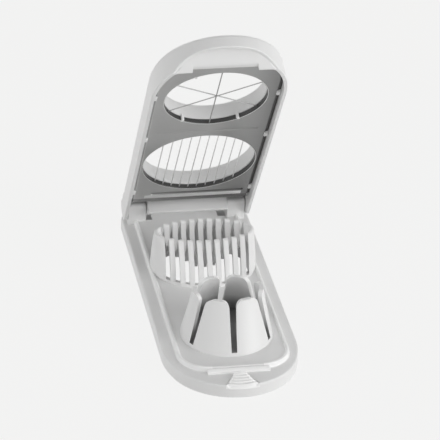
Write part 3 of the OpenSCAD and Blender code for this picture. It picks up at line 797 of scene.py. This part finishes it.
def crown_rings(shell, stations):
    """Rings from the ceiling's height over the rounded shoulder to the crown, closed round the hinge."""
    levels = [(LID_DRAFT * 0.85, CEILING_Z)]
    for a in [math.radians(90) * i / 7 for i in range(1, 8)]:
        levels.append((LID_DRAFT + CROWN_R * (1 - math.cos(a)), CROWN_Z - CROWN_R * (1 - math.sin(a))))
    rings = []
    for inset, z in levels + [(LID_DRAFT + 3.2, CROWN_Z)]:
        rear_y = AXIS_Y + math.sqrt(max(0.0, REAR_R ** 2 - (z - AXIS_Z) ** 2))
        rear = [(share * (HALF_W - inset), rear_y) for share in (-1, -0.5, 0.5, 1)]
        rings.append(shell.ring(at([place(inset) for place, _ in stations] + rear, z)))
    for a, b in zip(rings, rings[1:]):
        shell.strip(a, b)
    return rings


def window(shell, centre_y, radius):
    """A window's wall from the crown down to its collar, and up the collar's outside to the ceiling."""
    steps = [(1.1, CROWN_Z), (0.7, CROWN_Z), (0.25, CROWN_Z - 0.2), (0.05, CROWN_Z - 0.6),
             (0.0, CROWN_Z - 1.2), (0.0, COLLAR_Z + 0.5), (0.15, COLLAR_Z + 0.15), (0.5, COLLAR_Z),
             (1.5, COLLAR_Z), (1.85, COLLAR_Z + 0.15), (2.0, COLLAR_Z + 0.5), (2.0, CEILING_Z)]
    return shell.loft([at(oval(radius + out, radius + out, centre_y), z) for out, z in steps])


def lid_shell():
    """The lid's frame: rim, finger scoop, walls, crown and two window collars."""
    shell = Shell()
    stations = lid_stations()
    count = len(stations)
    under = [under_lid(place, inner) for place, inner in stations]
    across = [shell.ring(points) for points in zip(*under)]
    wall_foot = shell.ring([(*place(0.0), row[-1][2] + 0.5) for (place, _), row in zip(stations, under)])
    wall_top = shell.ring([(*place(LID_DRAFT * 0.8), CEILING_Z - 0.4) for place, _ in stations])
    crown = crown_rings(shell, stations)
    ceiling = shell.ring([(*inner, CEILING_Z) for _, inner in stations])
    section = [ceiling] + across + [wall_foot, wall_top, crown[0][:count]]
    for a, b in zip(section, section[1:]):
        shell.strip(a, b, False)
    for end in (0, count - 1):
        shell.face([ring[end] for ring in section])
    windows = [window(shell, COMB_Y, SLICE_R), window(shell, WEDGE_Y, WEDGE_R)]
    shell.fill(crown[-1], *[rings[0] for rings in windows])
    shell.fill(ceiling + crown[0][count:], *[rings[-1] for rings in windows])
    shell.make("lid_shell_skin", "lid", [LID_WHITE], "lid_shell", opened=True)


def lid_hinge():
    """Rounded ears outside the posts, and the rear wall with its cheeks between them."""
    wall_y, top = AXIS_Y - 8.1, CEILING_Z + 0.5
    wall = [(wall_y, RIM_Z + 0.1), (wall_y, top), (wall_y + WALL, top), (wall_y + WALL, RIM_Z + 0.1)]
    ear = (arc((AXIS_Y, AXIS_Z), EAR_R, -90, 60, 16)
           + [(AXIS_Y - 1, top + 0.1), (AXIS_Y - 9, top + 0.1), (AXIS_Y - 9, RIM_Z + 0.15)])
    cheek = arc((AXIS_Y, AXIS_Z), CHEEK_R, -100, 75, 12) + [(wall_y + 1, top), (wall_y + 1, RIM_Z + 3)]
    slab(wall, 0.5 - POST_IN, POST_IN - 0.5, "lid_rear_wall", "lid", 0.5, True, LID_WHITE)
    for side, name in SIDES:
        inner, outer = side * (POST_OUT + 0.45), side * (HALF_W - 0.5)
        slab(ear, inner, outer, "hinge_ear_" + name, "lid", 0.5, True, LID_WHITE)
        inner, outer = side * (POST_IN - 2.8), side * (POST_IN - 0.45)
        slab(cheek, inner, outer, "hinge_cheek_" + name, "lid", 0.3, True, LID_WHITE)


def plate_lug(name, x, y, angle, half, low, taper):
    """A block with a tapered lower end, turned by an angle, that reaches down past the plate's edge."""
    turn = math.radians(angle)
    corners = [(-half[0], -half[1]), (half[0], -half[1]), half, (-half[0], half[1])]
    shell = Shell()
    rings = []
    for z, share in ((low, 0.75), (low + taper, 1.0), (COLLAR_Z + 0.8, 1.0)):
        rings.append([(x + share * (cx * math.cos(turn) - cy * math.sin(turn)),
                       y + share * (cx * math.sin(turn) + cy * math.cos(turn)), z) for cx, cy in corners])
    made = shell.loft(rings)
    shell.face(made[0])
    shell.face(made[-1])
    shell.make(name, "lid", [LID_WHITE], bevel=0.25, opened=True)


def plate_lugs():
    """Small snap lugs of the lid that hold the plate along its sides and round the wedge window."""
    names = iter(f"plate_lug_{number}" for number in range(1, 10))
    x, radius = HALF_W - 3.6, WEDGE_R + 0.4
    for reach in (30.0, 99.0, 150.0):
        for side, _ in SIDES:
            plate_lug(next(names), side * x, AXIS_Y - reach, 0.0, (1.3, 2.2), PLATE_Z - 0.9, 1.05)
    for angle in (240.0, 124.0, 57.0):
        across, along = radius * math.cos(math.radians(angle)), radius * math.sin(math.radians(angle))
        plate_lug(next(names), across, WEDGE_Y + along, angle, (1.2, 0.9), PLATE_Z - 0.25, 0.77)


# ---- cutting plate ----
FOLD_X, EDGE_X = 35.2, 37.7           # half widths at the fold and at the bent-back edge
PLATE_REAR, PLATE_FRONT = AXIS_Y - 20.5, CHORD_REAR_Y + 1.4
PLATE_CORNER_R = 18.0
LIP_DEPTH = 2.85                      # how far the holes' lips are turned in from the plate's face
EMBOSSED = 1.59                       # half width of an embossed rib


def plate_loop(out, z):
    """Outline of the plate at a height, with its front corners rounded like the lid's rim."""
    x, radius = FOLD_X + out, PLATE_CORNER_R + 4.0 * max(0.0, out)
    rear = PLATE_REAR + 0.5 * clamp(out)
    corner = arc((x - radius, PLATE_FRONT - out * 0.2 + radius), radius, 0, -90, 12)
    left = [(-px, py) for px, py in reversed(corner)]
    return at([(x, rear)] + corner + left + [(-x, rear)], z)


def lipped_hole(shell, centre_y, radius):
    """A hole with its edge turned in as a lip."""
    steps = [(0.8, 0.0), (0.6, 0.0), (0.2, 0.12), (0.0, 0.45), (0.0, LIP_DEPTH), (0.8, LIP_DEPTH),
             (0.8, PLATE_T)]
    rings = [shell.ring(at(oval(radius + out, radius + out, centre_y), PLATE_Z + deep))
             for out, deep in steps]
    # slot 3 paints a highlight on the rolled edge, and slot 1 paints shade on the lip's inside
    for a, b, slot in zip(rings, rings[1:], (0, 3, 1, 1, 0, 0)):
        shell.strip(a, b, slot=slot)
    return rings


def embossed_rib(shell, middle_y, x0, x1, steps, slot):
    """A long rib with round ends, pressed into the plate's face. Gives its outer loop."""
    rings = []
    for grow, deep in steps:
        half = EMBOSSED + grow
        ends = arc((x1, middle_y), half, -90, 90, 8) + arc((x0, middle_y), half, 90, 270, 8)
        rings.append(shell.ring(at(ends, PLATE_Z + deep)))
    for a, b in zip(rings, rings[1:]):
        shell.strip(a, b, slot=slot)
    shell.fill(rings[-1], slot=slot)
    return rings[0]


def cutting_plate():
    """Steel sheet with two lipped holes, bent-back margins and two embossed ribs."""
    shell = Shell()
    bend = EDGE_X - FOLD_X
    margin = [(0.0, 0.0), (0.3, 0.1), (0.7, 0.35), (bend - 0.2, 1.0), (bend, 1.4), (0.1, PLATE_T + 0.9),
              (-0.4, PLATE_T)]
    rings = [shell.ring(plate_loop(out, PLATE_Z + depth)) for out, depth in margin]
    # slot 2, the darker steel, paints shade on the bent margin
    for a, b, slot in zip(rings, rings[1:], (0, 2, 2, 2, 0, 0)):
        shell.strip(a, b, slot=slot)
    holes = [lipped_hole(shell, COMB_Y, SLICE_R + 0.3), lipped_hole(shell, WEDGE_Y, WEDGE_R + 0.3)]
    shallow = [(0.0, 0.0), (-0.4, 0.1), (-0.9, 0.3), (-1.2, 0.35)]
    deep = [(0.0, 0.0), (-0.3, 0.5), (-0.9, 0.9), (-1.2, 0.95)]
    # the rib near the hinge takes slot 2, the darker steel, as painted shade
    ribs = [embossed_rib(shell, AXIS_Y - 107.0, -29.0, 29.0, shallow, 0),
            embossed_rib(shell, AXIS_Y - 26.8, -24.0, 31.0, deep, 2)]
    shell.fill(rings[0], *[hole[0] for hole in holes], *ribs)
    shell.fill(rings[-1], *[hole[-1] for hole in holes])
    shell.make("steel_plate", "lid", [PLATE_STEEL, LIP_PAINTED_SHADE_STEEL, MARGIN_PAINTED_SHADE_STEEL, BEAD_PAINTED_HIGHLIGHT_STEEL], "cutting_plate",
               opened=True, sharp=30)


def plate_rear():
    """The bead across the plate near the hinge, in lighter steel as a painted highlight, and the edge folded
    back behind it, in darker steel as painted shade.
    """
    bead = [(-4.6, 0.4), (-4.2, -0.1), (-3.0, -0.45), (-1.6, -0.45), (-0.6, -0.1), (-0.2, 0.4)]
    fold = [(-0.3, 0.05), (1.2, 0.15), (4.6, 0.35), (5.9, 0.9), (6.2, 2.0), (5.6, 2.0), (5.2, 1.4),
            (4.2, 1.1), (1.0, 0.9), (-0.3, 0.75)]
    for name, profile, x0, x1, material in (("bead", bead, -29.0, 31.5, BEAD_PAINTED_HIGHLIGHT_STEEL),
                                            ("fold", fold, -FOLD_X - 0.5, FOLD_X + 0.5, MARGIN_PAINTED_SHADE_STEEL)):
        slab([(PLATE_REAR + y, PLATE_Z + z) for y, z in profile], x0, x1, "plate_rear_" + name, "lid", 0.15,
             True, material)


def finish_wires_and_pins():
    """Steel for the wires, crimps and pins, which keep their own solids."""
    for name, node in frame["nodes"].items():
        if "pin" in name or "crimps" in name:
            finish = PIN_STEEL
        elif "wire" in name:
            finish = SLICE_STEEL if name.startswith("slicing_wire_") else WEDGE_STEEL
        else:
            continue
        node.data.materials.clear()
        node.data.materials.append(finish)


# ---- floor, light and camera ----
WORLD_LEVEL = 0.27                    # strength of the world's light on the slicer
FLOOR_REACH = 6.0


def seen_ray(shade):
    """1 for rays that come straight from the camera, or by way of a mirror or a clear piece."""
    straight, mirror, through = (shade.node("LightPath", output=f"Is {kind} Ray")
                                 for kind in ("Camera", "Glossy", "Transmission"))
    return shade.maths("MINIMUM", straight + mirror + through, 1.0)


def floor():
    """A wide sheet of pale paper, bright to the camera, that keeps the slicer's shadow."""
    material, shade = new_material("floor_paper")
    paper = shade.node("BsdfDiffuse", {}, {"Color": grey(0.80)})
    glow = shade.node("Emission", {}, {"Color": grey(0.92), "Strength": 1.0})
    seen = shade.node("MixShader", {}, {0: seen_ray(shade) * 0.93, 1: paper, 2: glow})
    shade.node("OutputMaterial", {}, {"Surface": seen})
    mesh = bpy.data.meshes.new("floor")
    corners = [(-1, -1), (1, -1), (1, 1), (-1, 1)]
    mesh.from_pydata([(x * FLOOR_REACH, y * FLOOR_REACH, 0) for x, y in corners], [], [(0, 1, 2, 3)])
    mesh.materials.append(material)
    sheet = bpy.data.objects.new("floor", mesh)
    bpy.context.scene.collection.objects.link(sheet)


def world():
    """An even pale surround, brighter to the camera than on the slicer."""
    studio = bpy.data.worlds.new("studio")
    studio.use_nodes = True
    studio.node_tree.nodes.clear()
    shade = Shade(studio.node_tree)
    strength = seen_ray(shade) * (1.0 - WORLD_LEVEL) + WORLD_LEVEL
    glow = shade.node("Background", {}, {"Color": (0.888, 0.888, 0.888, 1), "Strength": strength})
    shade.node("OutputWorld", {}, {"Surface": glow})
    bpy.context.scene.world = studio


def area_light(name, azimuth, elevation, power):
    """A square softbox that looks at the middle of the slicer. Azimuth 0 is straight in front."""
    distance, size = 1.6, 1.0
    a, e = math.radians(azimuth), math.radians(elevation)
    back = Vector((math.sin(a) * math.cos(e), -math.cos(a) * math.cos(e), math.sin(e)))
    light = bpy.data.lights.new(name, "AREA")
    light.shape, light.size, light.energy = "SQUARE", size, power
    lamp = bpy.data.objects.new(name, light)
    lamp.location = Vector((0, 0, 0.06)) + back * distance
    lamp.rotation_mode = "QUATERNION"
    lamp.rotation_quaternion = back.to_track_quat("Z", "Y")
    bpy.context.scene.collection.objects.link(lamp)


def camera():
    """Long lens from the front left, above the slicer."""
    azimuth, elevation, roll = math.radians(11.33), math.radians(28.754), math.radians(2.281)
    target, distance = Vector((24.233, 103.851, 0)) * MM, 1.77864
    frame_px, focal_px, sensor_mm = 440, 2800, 36
    back = Vector((-math.sin(azimuth) * math.cos(elevation), -math.cos(azimuth) * math.cos(elevation),
                   math.sin(elevation)))
    right = Vector((math.cos(azimuth), -math.sin(azimuth), 0))
    up = back.cross(right)
    turned_right = right * math.cos(roll) + up * math.sin(roll)
    turned_up = up * math.cos(roll) - right * math.sin(roll)
    lens = bpy.data.cameras.new("camera")
    lens.sensor_width, lens.lens = sensor_mm, focal_px * sensor_mm / frame_px
    lens.clip_start, lens.clip_end = 0.05, 30
    eye = bpy.data.objects.new("camera", lens)
    eye.matrix_world = Matrix((turned_right, turned_up, back)).transposed().to_4x4()
    eye.location = target + back * distance
    bpy.context.scene.collection.objects.link(eye)
    bpy.context.scene.camera = eye


# ---- build ----
base_tray()
hinge_posts()
ledge()
thumb_pad()
comb()
cup()
lid_shell()
lid_hinge()
plate_lugs()
cutting_plate()
plate_rear()
finish_wires_and_pins()

floor()
world()
area_light("key_light", 55, 12, 15)
area_light("high_light", 45, 45, 5)
area_light("fill_light", -50, 12, 4)
area_light("back_light", 180, 25, 4)
area_light("side_light", -85, 12, 7)
camera()
bpy.context.scene.view_settings.view_transform = "Standard"
